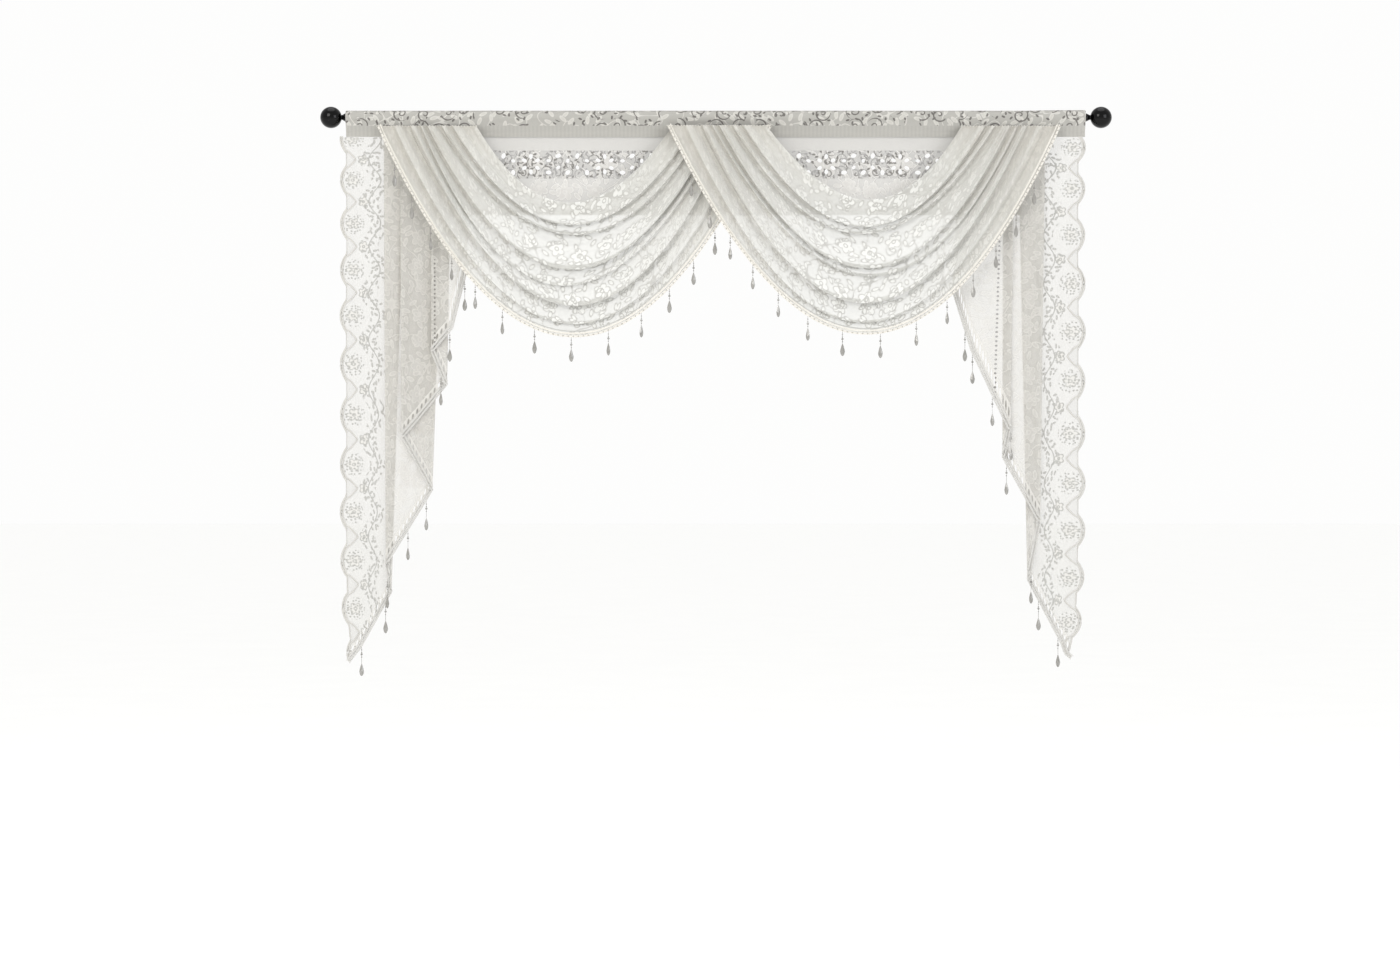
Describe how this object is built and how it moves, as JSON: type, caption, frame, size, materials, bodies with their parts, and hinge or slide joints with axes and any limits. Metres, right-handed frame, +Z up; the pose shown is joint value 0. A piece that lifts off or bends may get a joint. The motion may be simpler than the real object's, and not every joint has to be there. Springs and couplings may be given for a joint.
{
  "type": "lace curtain on a rod",
  "caption": "Swagged lace window curtain on a rod with ball finials: draped swags, pleated tails with scalloped edges and hanging bead drops.",
  "frame": {"origin": "on the axis of the rod, halfway along the heading, where wall brackets hold the rod", "axes": "+Z up, -Y out of the front of the curtain into the room, +X along the rod to the viewer's right"},
  "size_m": [1.6066, 0.0903, 1.1545],
  "materials": {
    "black_metal": "black gloss enamel",
    "lace": "white raschel lace, sheer net with raised flowers",
    "beaded_trim": "cream cord with clear acrylic beads"
  },
  "bodies": {
    "root": {"rod": "black_metal", "finial_left": "black_metal", "finial_right": "black_metal", "heading": "lace", "back_valance": "lace", "swag_left": "lace", "swag_right": "lace", "tail_left": "lace", "tail_right": "lace", "swag_trim_left": "beaded_trim", "swag_trim_right": "beaded_trim", "tail_trim_left": "beaded_trim", "tail_trim_right": "beaded_trim"}
  },
  "joints": []
}
